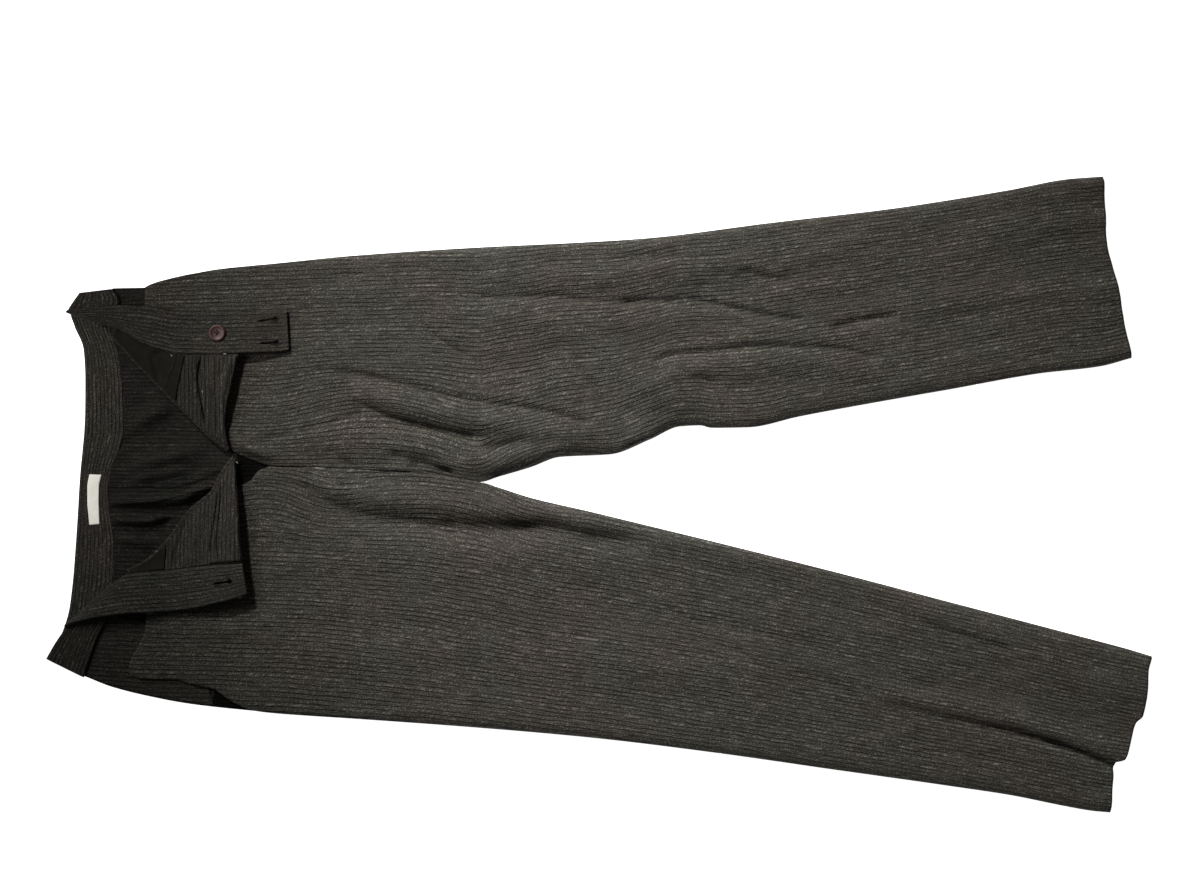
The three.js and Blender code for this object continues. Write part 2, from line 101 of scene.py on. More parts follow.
# The garment's outlines, as pairs of how far to the right and how near
frontSeam = [[273, 466], [310, 467], [350, 469], [425, 472], [455, 477], [480, 482]]
leftSide = [[145, 287.2], [150, 284.5], [160, 281], [190, 274], [220, 269], [280, 263], [350, 256],
            [470, 248], [590, 242], [650, 238], [770, 223], [890, 209], [950, 200], [1010, 190],
            [1070, 179], [1104, 176.5]]
leftInner = [[145, 369], [163, 389], [190, 414], [217, 440], [229, 449.5], [243, 456.5], [256, 461.5],
             *frontSeam, [500, 476], [530, 467], [560, 456.5], [610, 454], [650, 439], [680, 426],
             [700, 425], [712, 427.5], [748, 427], [800, 416], [890, 399.5], [950, 389], [1040, 373],
             [1100, 366], [1132, 357.5]]
rightSide = [[130, 675], [142, 679], [178, 680], [190, 684], [213, 689], [228, 699], [245, 708], [262, 712],
             [310, 716], [350, 718.5], [470, 727], [590, 737.5], [710, 752], [830, 769], [950, 786],
             [1010, 795], [1070, 807], [1094, 811], [1111, 812.5]]
rightInner = [[150, 561], [168, 542], [189, 515], [205, 501], [222, 490], [240, 485], [250, 481],
              [258, 471], *frontSeam, [530, 498], [590, 512], [650, 526.5], [740, 548.5], [830, 571],
              [950, 602.5], [1070, 634], [1130, 650], [1152.7, 657]]
centreBack = [[107, 496], [150, 493], [212, 480], [300, 476], [400, 478], [480, 482]]
backSideLeft = [[100, 289.6], [112, 288], *leftSide]
backSideRight = [[86, 677.6], [110, 687], [145, 696], [190, 704.4], [250, 711], *rightSide[8:]]
grainLeft = {"side": [[60, 273], [350, 256], *leftSide[7:]],
             "inner": [[60, 462], *frontSeam, *leftInner[13:]]}
grainRight = {"side": [[60, 698], [350, 718.5], *rightSide[10:]],
              "inner": [[60, 466], *frontSeam, *rightInner[14:]]}


def fold(high, wide, *path, run=0):
    # A ridge so high, or a trough where high is below nothing, so wide to each side of its path's points;
    # it comes to its full height over the run, three widths where none is given.
    return {"path": path, "high": high, "wide": wide, "run": run or 3 * wide}


leftFolds = [
    fold(7, 12, [352, 388], [420, 408], [480, 420], [540, 431], [592, 436]),
    fold(4.5, 14, [290, 436], [350, 441], [420, 447], [480, 452]),
    fold(6, 22, [588, 318], [618, 352], [648, 392], [700, 412]),
    fold(3.2, 13, [470, 276], [620, 273], [740, 262], [880, 240]),
    fold(3, 16, [440, 312], [520, 318], [620, 320], [740, 330], [830, 338]),
    fold(4, 13, [640, 377], [720, 366], [800, 362], [880, 372]),
    fold(3.4, 15, [880, 306], [960, 298], [1050, 290], [1130, 288]),
    fold(2.6, 14, [960, 236], [1040, 226], [1115, 214]),
    fold(5, 10, [436, 463], [480, 464], [530, 452], [590, 444]),
    fold(2.6, 9, [232, 441], [252, 452], [276, 458], [312, 460]),
    fold(2.4, 15, [320, 300], [400, 290], [480, 296]),
]
rightFolds = [
    fold(6.5, 13, [290, 480], [340, 490], [400, 499], [470, 506], [540, 516], [620, 533]),
    fold(3, 20, [320, 548], [420, 556], [520, 556], [640, 572]),
    fold(6.5, 12, [790, 669], [880, 691], [950, 705], [1023, 721], [1062, 734], [1124, 757], run=180),
    fold(3, 12, [880, 606], [947, 622], [1016, 648], [1080, 668]),
    fold(3.6, 15, [1010, 672], [1080, 684], [1150, 692]),
    fold(2.6, 22, [560, 640], [680, 662], [800, 700]),
    fold(2.4, 20, [270, 640], [360, 650], [470, 664]),
]
backFolds = [
    fold(3, 7, [112, 499], [150, 500], [200, 493], [226, 484]),
    fold(3, 5, [112, 519], [140, 521], [168, 517]),
    fold(2.2, 6, [114, 536], [135, 540], [152, 547]),
    fold(1.6, 5, [130, 480], [160, 474], [190, 470]),
    fold(3, 9, [128, 466], [165, 458], [200, 453]),
    fold(2.4, 8, [126, 425], [160, 412], [180, 404]),
    fold(-2.4, 3.4, [108, 491], [169, 492], [205, 483], [222, 474]),
    fold(-2.4, 3, [109, 510], [150, 510], [198, 507]),
    fold(-3, 5, [115, 527], [142, 530], [182, 521]),
    fold(-2, 4.5, [124, 556], [136, 563], [148, 570]),
    fold(-1.5, 3.5, [113, 447], [140, 438], [166, 434]),
]
leftCreases = [
    fold(-2.3, 4.5, [330, 371], [370, 377], [433, 393], [478, 402], [544, 412], [592, 425]),
    fold(-3.7, 6, [352, 401], [371, 413], [400, 423], [430, 430], [460, 437], [486, 441]),
    fold(-1.3, 3.6, [262, 439], [301, 431], [330, 423], [358, 415], [380, 411]),
    fold(-1.3, 6, [380, 455], [410, 457], [440, 459]),
    fold(-1.2, 12, [236, 420], [250, 427], [262, 432]),
    fold(2.2, 7, [228, 434], [245, 445], [262, 452], [285, 457]),
    fold(-1.7, 3.6, [418, 322], [446, 344], [474, 358]),
    fold(-1.6, 4, [458, 292], [491, 298], [547, 297], [601, 302], [640, 302]),
    fold(-0.9, 5, [606, 260], [660, 257], [710, 262]),
    fold(-1.3, 4, [736, 271], [790, 282]),
    fold(-1.2, 4, [355, 372], [372, 378]),
    fold(-2, 4, [620, 303], [691, 300], [709, 303], [756, 314], [774, 317], [807, 321]),
    fold(1.3, 15, [588, 324], [614, 361], [642, 382], [673, 391], [707, 401]),
    fold(-2.4, 13, [575, 350], [591, 377], [616, 405], [645, 425]),
    fold(-1.8, 4, [652, 361], [679, 355], [715, 352], [772, 347], [834, 349], [877, 359]),
    fold(-1.8, 4, [831, 328], [870, 320], [900, 316]),
    fold(-1.2, 4, [691, 376], [720, 384]),
    fold(-3.4, 5, [341, 460], [350, 466], [360, 470]),
    fold(-5, 5, [409, 463], [421, 466], [434, 470], [458, 475]),
    fold(-1.2, 5, [470, 452], [500, 447], [530, 440]),
]
rightCreases = [
    fold(-2.9, 8.5, [302, 482], [322, 502], [345, 515], [396, 523], [451, 529], [505, 531], [545, 529],
         [600, 538], [645, 545]),
    fold(-1.8, 5, [300, 470], [309, 484], [316, 500]),
    fold(-1.2, 5, [850, 596], [902, 615], [947, 631], [1016, 651], run=80),
    fold(-2.6, 5, [860, 699], [914, 710], [966, 723], [1021, 735], [1067, 749], [1121, 771], run=230),
    fold(-0.8, 7, [785, 676], [830, 684], [883, 696], run=40),
    fold(-1.2, 4, [285, 484], [330, 492]),
    fold(-1.2, 3, [345, 537], [365, 539]),
    fold(-0.9, 9, [650, 610], [740, 632], [840, 650]),
]

# Where the cloth is pulled askew, so that its stripes run at another slope round a place, so far each way
leftPulls = [
    {"at": [312, 405], "reach": [75, 44], "slope": -0.22},
    {"at": [508, 461], "reach": [55, 26], "slope": -0.34},
    {"at": [430, 408], "reach": [60, 20], "slope": 0.15},
    {"at": [600, 400], "reach": [80, 34], "slope": -0.14},
]
rightPulls = [
    {"at": [300, 500], "reach": [48, 30], "slope": 0.42},
    {"at": [500, 500], "reach": [60, 22], "slope": 0.14},
    {"at": [400, 640], "reach": [150, 60], "slope": 0.07},
]


def foldHeight(folds, right, near):
    # Sum of soft ridges: high times exp(-(distance across / wide)^2), dying out over the path's two ends.
    total = np.zeros(np.broadcast(right, near).shape)
    for ridge in folds:
        start, end, wide = ridge["path"][0][0], ridge["path"][-1][0], ridge["wide"]
        across = near - curveAt(ridge["path"], np.clip(right, start, end))
        past = np.maximum(0, np.abs(right - (start + end) / 2) - (end - start) / 2)
        fadeIn = ease(start - wide, start + ridge["run"], right)
        fadeOut = 1 if end > 1100 else 1 - ease(end - 3 * wide, end + wide, right)
        total += ridge["high"] * np.exp(-(across / wide) ** 2 - (past / (2 * wide)) ** 2) * fadeIn * fadeOut
    return total


# The waistband, from the side fold round to its end: its top edge and its sewn edge, with their heights
bandLeft = {
    "top": [[79.5, 292.8, 3.8], [73, 302, 4.2], [68.6, 309, 4.4], [67.6, 311.4, 5.4], [66.6, 311.6, 7.2],
            [67.6, 311, 9], [76, 309.4, 11], [95, 307.2, 12], [118, 305.6, 12], [146, 306.4, 10.6],
            [176, 310.6, 8.8], [208, 312, 8.3], [246, 311.6, 8.2], [274, 310.6, 8], [287.4, 310.2, 7.8]],
    "seam": [[111.5, 289, 3.8], [119, 300, 4.4], [117, 316, 4.6], [107, 325, 5.6], [104, 326.5, 7.2],
             [105, 325.4, 8.8], [111, 326.8, 9.4], [126, 333, 9.2], [144, 343.4, 8.8], [163, 350.4, 8.6],
             [181, 354.2, 8.4], [209, 354.4, 8.4], [247, 353.6, 9.4], [275, 352.4, 8.6], [289.6, 350.6, 8]],
}
bandRight = {
    "top": [[46, 659, 3.8], [55, 643.6, 4.6], [63.6, 631.6, 5], [67.4, 628.4, 5], [66.4, 627, 6.4],
            [65.6, 626.2, 8.6], [67.6, 625.2, 10.8], [80.8, 620.4, 15], [101.2, 616, 19],
            [126.7, 613, 19.6], [150, 612, 16.4], [173, 610.6, 12.2], [196, 607.4, 11.6],
            [219, 602.4, 10.6], [236, 597.6, 9.4], [249.8, 592.8, 8.4]],
    "seam": [[83.5, 677.4, 3.8], [90.4, 656.4, 4.8], [97, 638, 5], [110, 610, 5], [113, 588, 5.8],
             [112, 585, 7.6], [115, 583, 9.2], [121, 578.4, 10], [130, 573.4, 10.2], [142, 571.8, 10.4],
             [157, 570.6, 10.6], [175, 569.4, 10.9], [196, 566.6, 11], [217, 564, 11], [233, 563.2, 10.6],
             [245.4, 562.4, 9.8]],
}
bandBack = {
    "top": [[80, 294.4], [69.4, 310.6], [73.8, 326], [83, 350], [84.6, 380], [84.4, 412], [83.6, 430],
            [82, 448], [80, 468], [78.4, 490], [77, 515], [75, 545], [72.4, 578], [68.4, 610], [60, 636],
            [53, 648], [46.6, 658.6]],
    "seam": [[111, 290.4], [108, 310], [110, 330], [117, 352], [121.6, 380], [123.2, 412], [123.4, 430],
             [119, 448], [112, 467], [107.6, 490], [109.6, 515], [113.8, 543], [112.6, 578], [108.6, 610],
             [96.4, 638], [90.5, 656], [84, 676.8]],
}

# The turned-back part: where its lines leave the waistband seam, and where they end on the turned edge
leftTurn = {
    "seam": [[115], [140], [177], [203], [222], [240]],
    "fold": [[112.5, 334, 8.4], [130, 354, 8.4], [164, 390, 8.4], [203, 427, 8.6], [219, 441, 8.8],
             [230, 449, 8.8]],
}
rightTurn = {
    "seam": [[131], [150], [167], [190], [209], [226], [245]],
    "fold": [[129, 571, 9], [147, 562, 9], [169, 541, 9], [192, 511, 9], [214, 493, 9], [223, 476, 9],
             [236, 458, 9]],
}

frontLeft = {
    "node": "front_left", "side": leftSide, "inner": leftInner, "folds": leftFolds, "creases": leftCreases,
    "pulls": leftPulls, "turn": leftTurn, "bow": -6, "band": bandLeft, "grain": grainLeft,
    "mouth": [[0, 145], [1, 145]],
    "hem": [[0, 1103.6], [0.25, 1105], [0.36, 1106.5], [0.48, 1112], [0.64, 1118.5], [0.82, 1124.5],
            [1, 1132]],
    "facingEnd": 215, "foldAway": (-0.7, 0.7), "outward": -1, "seed": 11,
}
frontRight = {
    "node": "front_right", "side": rightSide, "inner": rightInner, "folds": rightFolds,
    "creases": rightCreases, "pulls": rightPulls, "turn": rightTurn, "bow": 0.5, "band": bandRight,
    "grain": grainRight,
    "mouth": [[0, 130], [0.1, 129], [0.3, 138], [0.45, 145.7], [1, 150]],
    "hem": [[0, 1110.8], [0.2, 1112.5], [0.31, 1114.5], [0.33, 1122.5], [0.45, 1130], [0.56, 1135],
            [0.62, 1142.5], [0.78, 1146], [0.91, 1147.5], [1, 1152.6]],
    "facingEnd": 255, "foldAway": (-0.7, -0.7), "outward": 1, "seed": 37,
}
legForm = {"edgeRound": 11, "rise": 2.6, "facingLift": 1.9, "rows": 400, "columns": 90, "crinkle": 0.75,
           "swell": 1.3, "creaseDepth": 2.2, "fuller": [290, 430, 2.8], "seamApart": 0.06}
loose = {
    "left": {"start": 165, "full": 232, "down": [240, 284], "high": 5, "outer": 0.25},
    "right": {"start": 160, "full": 250, "down": [300, 310], "high": 12, "outer": 1},
}


def grainPlace(front, right, near):
    # Where a point lies in the striped cloth: along the leg, and across it from the leg's middle line,
    # drawn together half as much as the leg narrows, and slid by each pull: slope times distance, dying out.
    side, inner = curveAt(front["grain"]["side"], right), curveAt(front["grain"]["inner"], right)
    narrow = np.sqrt(200 / np.abs(inner - side))
    slid = 0
    for pull in front["pulls"]:
        past = right - pull["at"][0]
        along, across = past / pull["reach"][0], (near - pull["at"][1]) / pull["reach"][1]
        slid = slid - pull["slope"] * past * np.exp(-(along**2) - across**2)
    return np.stack([right + 0 * near, (near + slid - (side + inner) / 2) * narrow], axis=-1)


def innerLine(front, right):
    # The leg's inner edge, a hair short of the seam that it shares with the other leg.
    return curveAt(front["inner"], right) + front["outward"] * legForm["seamApart"]


def crinkle(front, right, near):
    # Small uneven rumples, drawn out along the grain, from three sizes of noise.
    along, across = np.moveaxis(grainPlace(front, right, near), -1, 0)
    seed = front["seed"]
    fine = (softNoise(along / 46, across / 13, seed) + 0.6 * softNoise(along / 19, across / 6, seed + 1)
            + 0.35 * softNoise(along / 9, across / 3.4, seed + 2))
    return legForm["crinkle"] * fine + legForm["swell"] * softNoise(along / 120, across / 34, seed + 3)


def frontHeight(front, right, near, fine=False):
    # Height of the front's wall: it rises from its edges, lies on the pocket's facing and in folds.
    fromSide = np.abs(near - curveAt(front["side"], right)) / legForm["edgeRound"]
    fromInner = np.abs(near - innerLine(front, right)) / legForm["edgeRound"]
    seamed = ease(245, 285, right) * (1 - ease(crotch - 20, crotch + 40, right))
    rise = lambda distance: 1 - np.maximum(0, 1 - distance) ** 2.4
    share = rise(fromSide) * np.maximum(rise(fromInner), seamed)
    lift = legForm["facingLift"] * (1 - ease(front["facingEnd"] - 30, front["facingEnd"], right))
    start, end, more = legForm["fuller"] if fine else (0, 1, 0)
    rising = legForm["rise"] + more * ease(start, end, right)
    high = edgeHeight + np.maximum(rising * share, lift) + foldHeight(front["folds"], right, near) * share
    if fine:
        creased = legForm["creaseDepth"] * foldHeight(front["creases"], right, near)
        folded = creased + crinkle(front, right, near)
        high = np.maximum(high + folded * share, edgeHeight)
    return high


def sewnLine(band):
    # The band's sewn edge from where it has turned over: how near, and how high, along its length.
    first = next(i for i, point in enumerate(band["seam"]) if point[0] < 115 and point[2] > 7)
    turned = band["seam"][first:]
    return [[r, n] for r, n, z in turned], [[r, z] for r, n, z in turned]


turnCreases = {
    "left": [{"at": 0.60, "high": -4.4, "wide": 0.014}, {"at": 0.74, "high": 1.5, "wide": 0.05},
             {"at": 0.33, "high": -1.6, "wide": 0.02}, {"at": 0.93, "high": 2.2, "wide": 0.05}],
    "right": [{"at": 0.73, "high": -3.0, "wide": 0.016}, {"at": 0.80, "high": -2.2, "wide": 0.014},
              {"at": 0.55, "high": 1.4, "wide": 0.06}, {"at": 0.42, "high": -1.6, "wide": 0.02}],
}


def flapLift(band, right, across=1):
    # How far a turned-back flap stands up, over its table's height; less at the band's top edge.
    flap = loose["left" if band is bandLeft else "right"]
    stands = ease(flap["start"], flap["full"], right) * (1 - ease(*flap["down"], right))
    return flap["high"] * stands * mix(flap["outer"], 1, across)


def turnPoint(front, along, across, lift=0):
    # The turned-back part: along from the waist to the fly, across from the waistband seam to the fold.
    seam = rowAt(front["turn"], "seam", along)[0]
    turned = rowAt(front["turn"], "fold", along)
    nearLine, highLine = sewnLine(front["band"])
    start = curveAt(nearLine, seam) - front["outward"] * 2 * wall["seamGap"]
    bow = front["bow"] * np.sin(np.pi * across**1.5) * along**3
    sag = 0.7 * np.sin(np.pi * across) * np.sin(np.pi * along)
    lifted = flapLift(front["band"], seam) * (1 - 0.75 * across**2.2)
    for crease in turnCreases["left" if front is frontLeft else "right"]:
        shape = np.exp(-(((along + 0.03 * np.sin(5 * across) - crease["at"]) / crease["wide"]) ** 2))
        lifted = lifted + crease["high"] * shape * ease(0, 0.15, across) * (1 - ease(0.8, 1, across))
    high = mix(curveAt(highLine, seam), turned[2], across) - sag + lifted + lift
    return mix(seam, turned[0], across) + bow, mix(start, turned[1], across), high


print("tables and forms ready")


def newObject(name, points, faces, *materials):
    # An object from points in metres and lists of corners; one with no material is a flat-sided cutter.
    mesh = bpy.data.meshes.new(name)
    mesh.from_pydata(points.tolist(), [], faces)
    mesh.polygons.foreach_set("use_smooth", np.full(len(faces), len(materials) > 0))
    for material in materials:
        mesh.materials.append(material)
    mesh.update()
    piece = bpy.data.objects.new(name, mesh)
    bpy.context.scene.collection.objects.link(piece)
    return piece


def gridPiece(name, patches, materials, thick, under=0):
    # Grids of points, each with its place in the cloth's pattern and its material's number, become one mesh
    # of quads with a wall of even thickness; its lower face takes the material so many further on.
    points, pattern, quads, looks, base = [], [], [], [], 0
    for grid, place, look in patches:
        rows, columns = grid.shape[:2]
        index = base + np.arange(rows * columns).reshape(rows, columns)
        faces = np.stack([index[:-1, :-1], index[1:, :-1], index[1:, 1:], index[:-1, 1:]], axis=-1)
        faces = faces.reshape(-1, 4)
        quads.append(faces)
        looks.append(np.full(len(faces), look))
        points.append(grid.reshape(-1, 3))
        pattern.append(place.reshape(-1, 2))
        base += rows * columns
    points, pattern, quads = np.concatenate(points), np.concatenate(pattern), np.concatenate(quads)
    piece = newObject(name, points, quads.tolist(), *materials)
    mesh = piece.data
    mesh.polygons.foreach_set("material_index", np.concatenate(looks).astype(np.int32))
    uv = mesh.uv_layers.new(name="cloth")
    uv.data.foreach_set("uv", (pattern[quads.ravel()] * 0.01).astype(np.float32).ravel())
    mesh.validate()
    solid = piece.modifiers.new("wall", "SOLIDIFY")
    solid.thickness = thick * 0.001
    solid.offset = 0
    solid.material_offset = under
    return piece


def flatArea(patch):
    # Area of a grid in square metres: half the length of the cross product of each quad's diagonals.
    grid = patch[0]
    first, second = grid[1:, 1:] - grid[:-1, :-1], grid[1:, :-1] - grid[:-1, 1:]
    return float(np.linalg.norm(np.cross(first, second), axis=-1).sum() / 2)


def asSheet(piece, node, patches, flat):
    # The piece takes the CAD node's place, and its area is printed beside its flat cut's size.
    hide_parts(node)
    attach(piece, "root")
    area = sum(flatArea(patch) for patch in patches)
    print(f"{node}: {area:.5f} square metres of {flat[0] * flat[1]:.5f}")


def newMaterial(name):
    # An empty node material, and the two ways to fill it: a node with its inputs, and a sum on values.
    material = bpy.data.materials.new(name)
    material.use_nodes = True
    tree = material.node_tree
    tree.nodes.clear()

    def add(kind, inputs=None, **settings):
        node = tree.nodes.new(kind)
        for key, value in settings.items():
            setattr(node, key, value)
        for socket, value in (inputs or {}).items():
            if isinstance(value, bpy.types.NodeSocket):
                tree.links.new(value, node.inputs[socket])
            else:
                node.inputs[socket].default_value = value
        return node

    def maths(operation, *values):
        return add("ShaderNodeMath", dict(enumerate(values)), operation=operation).outputs[0]

    return material, add, maths


def finish(add, settings):
    # The shader, with its colour and finish, goes to the material's output.
    shader = add("ShaderNodeBsdfPrincipled", settings)
    add("ShaderNodeOutputMaterial", {0: shader.outputs[0]})


pinstripeCloth = {
    "spacing": 4.1, "waver": 1.7, "fineWaver": 0.5, "groove": 0.42, "thread": 0.27, "speck": 0.7,
    "ground": (0.0255, 0.0238, 0.0203), "pale": (0.22, 0.21, 0.19), "warm": (1.06, 0.98, 0.93, 1),
    "cool": (0.98, 1.01, 0.94, 1), "patch": 11.0, "roughness": 0.85, "gloss": 0.12, "bump": 1.0,
}


def makePinstripe(name, light):
    # Fine uneven stripes along the cloth's length: thin dark grooves that waver and fade, and between them
    # slanted pale dashes and specks; the tone is streaked the same way, and warmer or cooler in patches.
    look = pinstripeCloth
    material, add, maths = newMaterial(name)
    uv = add("ShaderNodeUVMap", uv_map="cloth").outputs[0]
    split = add("ShaderNodeSeparateXYZ", {0: uv})
    along, across = maths("MULTIPLY", split.outputs[0], 100), maths("MULTIPLY", split.outputs[1], 100)

    def noise(x, y, long, wide, z=0.0, detail=2.0):  # patches so long and wide, in a layer of its own
        x, y = maths("DIVIDE", x, long), maths("DIVIDE", y, wide)
        at = add("ShaderNodeCombineXYZ", {0: x, 1: y, 2: z}).outputs[0]
        return add("ShaderNodeTexNoise", {"Vector": at, "Scale": 1.0, "Detail": detail}).outputs[0]

    def ramp(value, low, high, outLow, outHigh):
        node = add("ShaderNodeMapRange", {0: value, 1: low, 2: high, 3: outLow, 4: outHigh},
                   interpolation_type="SMOOTHSTEP")
        return node.outputs[0]

    def grey(value):
        return add("ShaderNodeCombineXYZ", {0: value, 1: value, 2: value}).outputs[0]

    def mixed(share, first, second, way="MIX"):
        node = add("ShaderNodeMix", {0: share, 6: first, 7: second}, data_type="RGBA", blend_type=way)
        return node.outputs[2]

    slow = maths("SUBTRACT", noise(along, across, 60, 26), 0.5)
    quick = maths("SUBTRACT", noise(along, across, 9, 5, 4.0), 0.5)
    moved = maths("ADD", across, maths("ADD", maths("MULTIPLY", slow, look["waver"] * 2),
                                       maths("MULTIPLY", quick, look["fineWaver"] * 2)))
    place = maths("DIVIDE", moved, look["spacing"])
    number = maths("FLOOR", place)
    offMiddle = maths("ABSOLUTE", maths("SUBTRACT", maths("SUBTRACT", place, number), 0.5))
    fade = ramp(noise(along, number, 36, 1 / 3.7, 9.0, 1.0), 0.33, 0.6, 0.25, 1.0)
    groove = maths("MULTIPLY", ramp(offMiddle, 0.31, 0.48, 0.0, 1.0), fade)
    own = add("ShaderNodeTexWhiteNoise", {"W": number}, noise_dimensions="1D").outputs[0]
    slanted = maths("ADD", along, maths("MULTIPLY", moved, 1.3))
    dash = ramp(noise(slanted, number, 2.6, 1 / 2.3, 3.0, 1.0), 0.5, 0.62, 0.0, 1.0)
    line = maths("MULTIPLY", ramp(offMiddle, 0.1, 0.26, 1.0, 0.0), ramp(own, 0.0, 1.0, 0.1, 1.0))
    thread = maths("MULTIPLY", line, dash)
    speck = ramp(noise(along, moved, 1.5, 0.8, 6.0, 1.0), 0.56, 0.74, 0.0, 1.0)
    streak = noise(along, moved, 13, 1.0, 2.0, 3.0)
    body = maths("ADD", maths("MULTIPLY", thread, look["thread"]), maths("MULTIPLY", speck, look["speck"]))
    # light scales the whole tone: below 1 it is painted shade, for copies of the cloth that lie in shade
    ground, pale = ((*[c * light for c in look[name]], 1) for name in ("ground", "pale"))
    colour = mixed(body, ground, pale)
    shade = maths("MULTIPLY", ramp(streak, 0.3, 0.7, 0.55, 1.42), ramp(groove, 0.0, 1.0, 1.0, look["groove"]))
    colour = mixed(1.0, colour, grey(shade), "MULTIPLY")
    place3d = add("ShaderNodeTexCoord").outputs["Object"]
    patch = add("ShaderNodeTexNoise", {"Vector": place3d, "Scale": look["patch"], "Detail": 3.0}).outputs[0]
    tint = mixed(ramp(patch, 0.36, 0.64, 0.0, 1.0), look["warm"], look["cool"])
    colour = mixed(1.0, colour, tint, "MULTIPLY")
    relief = maths("SUBTRACT", maths("ADD", maths("MULTIPLY", streak, 0.7), maths("MULTIPLY", speck, 0.25)),
                   maths("MULTIPLY", groove, 0.6))
    bump = add("ShaderNodeBump", {"Strength": look["bump"], "Distance": 0.0010, "Height": relief}).outputs[0]
    gloss = look["gloss"] * min(1, 4 * light)  # the cloth with the deepest painted shadow has less sheen too
    finish(add, {"Base Color": colour, "Roughness": look["roughness"], "Specular IOR Level": gloss,
                 "Normal": bump})
    return material


plainCloth = {"ground": (0.0060, 0.0055, 0.0042), "thread": (0.0112, 0.0102, 0.0080), "roughness": 0.82,
              "pitch": 1.1}


def makePlainWeave(name, look):
    # Two crossed sets of fine threads, one along and one across the cloth, uneven in tone.
    material, add, maths = newMaterial(name)
    uv = add("ShaderNodeUVMap", uv_map="cloth").outputs[0]
    split = add("ShaderNodeSeparateXYZ", {0: uv})
    waves = [maths("SINE", maths("MULTIPLY", out, 100 * 6.2832 / look["pitch"])) for out in split.outputs[:2]]
    weave = maths("MULTIPLY", waves[0], waves[1])
    place3d = add("ShaderNodeTexCoord").outputs["Object"]
    uneven = add("ShaderNodeTexNoise", {"Vector": place3d, "Scale": 90.0, "Detail": 3.0}).outputs[0]
    woven = maths("ADD", maths("MULTIPLY", weave, 0.16), uneven)
    tone = add("ShaderNodeMapRange", {0: woven, 1: 0.3, 2: 0.75})
    colour = add("ShaderNodeMix", {0: tone.outputs[0], 6: (*look["ground"], 1), 7: (*look["thread"], 1)},
                 data_type="RGBA").outputs[2]
    bump = add("ShaderNodeBump", {"Strength": 0.35, "Distance": 0.0005, "Height": weave}).outputs[0]
    finish(add, {"Base Color": colour, "Roughness": look["roughness"], "Specular IOR Level": 0.08,
                 "Normal": bump})
    return material


labelTape = {"ground": (0.92, 0.88, 0.77), "thread": (1.0, 0.98, 0.90), "roughness": 0.7, "pitch": 0.9}
polishedButton = {"dark": (0.013, 0.0037, 0.0027), "light": (0.050, 0.0145, 0.0105), "roughness": 0.48,
                  "gloss": 0.35}
palerThread = {"ground": (0.20, 0.19, 0.17), "thread": (0.34, 0.32, 0.29), "roughness": 0.6, "pitch": 0.5}
sewingThread = {"ground": (0.012, 0.011, 0.010), "thread": (0.03, 0.028, 0.026), "roughness": 0.6,
                "pitch": 0.5}


def makeButtonLook(name):
    # Clouded reddish-brown, a little uneven, with a soft polish.
    material, add, maths = newMaterial(name)
    place3d = add("ShaderNodeTexCoord").outputs["Object"]
    look = polishedButton
    cloud = add("ShaderNodeTexNoise", {"Vector": place3d, "Scale": 260.0, "Detail": 3.0, "Distortion": 1.2})
    colour = add("ShaderNodeMix", {0: cloud.outputs[0], 6: (*look["dark"], 1), 7: (*look["light"], 1)},
                 data_type="RGBA").outputs[2]
    finish(add, {"Base Color": colour, "Roughness": look["roughness"], "Specular IOR Level": look["gloss"]})
    return material


# Shaded copies of the pinstripe, darkened as painted shade: the waistbands for the dim waist, the back band
# less than the two side bands
bandShadeCloth = makePinstripe("pinstripe band painted shade", 0.63)
backBandShadeCloth = makePinstripe("pinstripe back band painted shade", 0.84)
outerCloth = makePinstripe("pinstripe face", 1.0)
# The reverse face: a little duller by itself, and darkened further with painted shade for the turned parts,
# fly pieces and right pocket facing
reverseShadeCloth = makePinstripe("pinstripe reverse painted shade", 0.56)
# The inside of the backs, the seam allowance and the left pocket facing: painted shade, for the inside that
# lies in the flaps' shade
insideShadeCloth = makePinstripe("pinstripe inside painted shade", 0.33)
# The fly's hollow: the cloth at 7 percent, painted shadow for the deep dark there
hollowShadowCloth = makePinstripe("pinstripe hollow painted shadow", 0.07)
pocketCloth = makePlainWeave("pocket cloth", plainCloth)
labelCloth = makePlainWeave("label tape", labelTape)
threadLook = makePlainWeave("sewing thread", sewingThread)
paleThread = makePlainWeave("pale thread", palerThread)
buttonLook = makeButtonLook("button polish")
print("materials ready")


turnForm = {"rows": 150, "columns": 44, "roll": 13, "lip": 5, "mirror": 0.6, "rumple": 0.5}


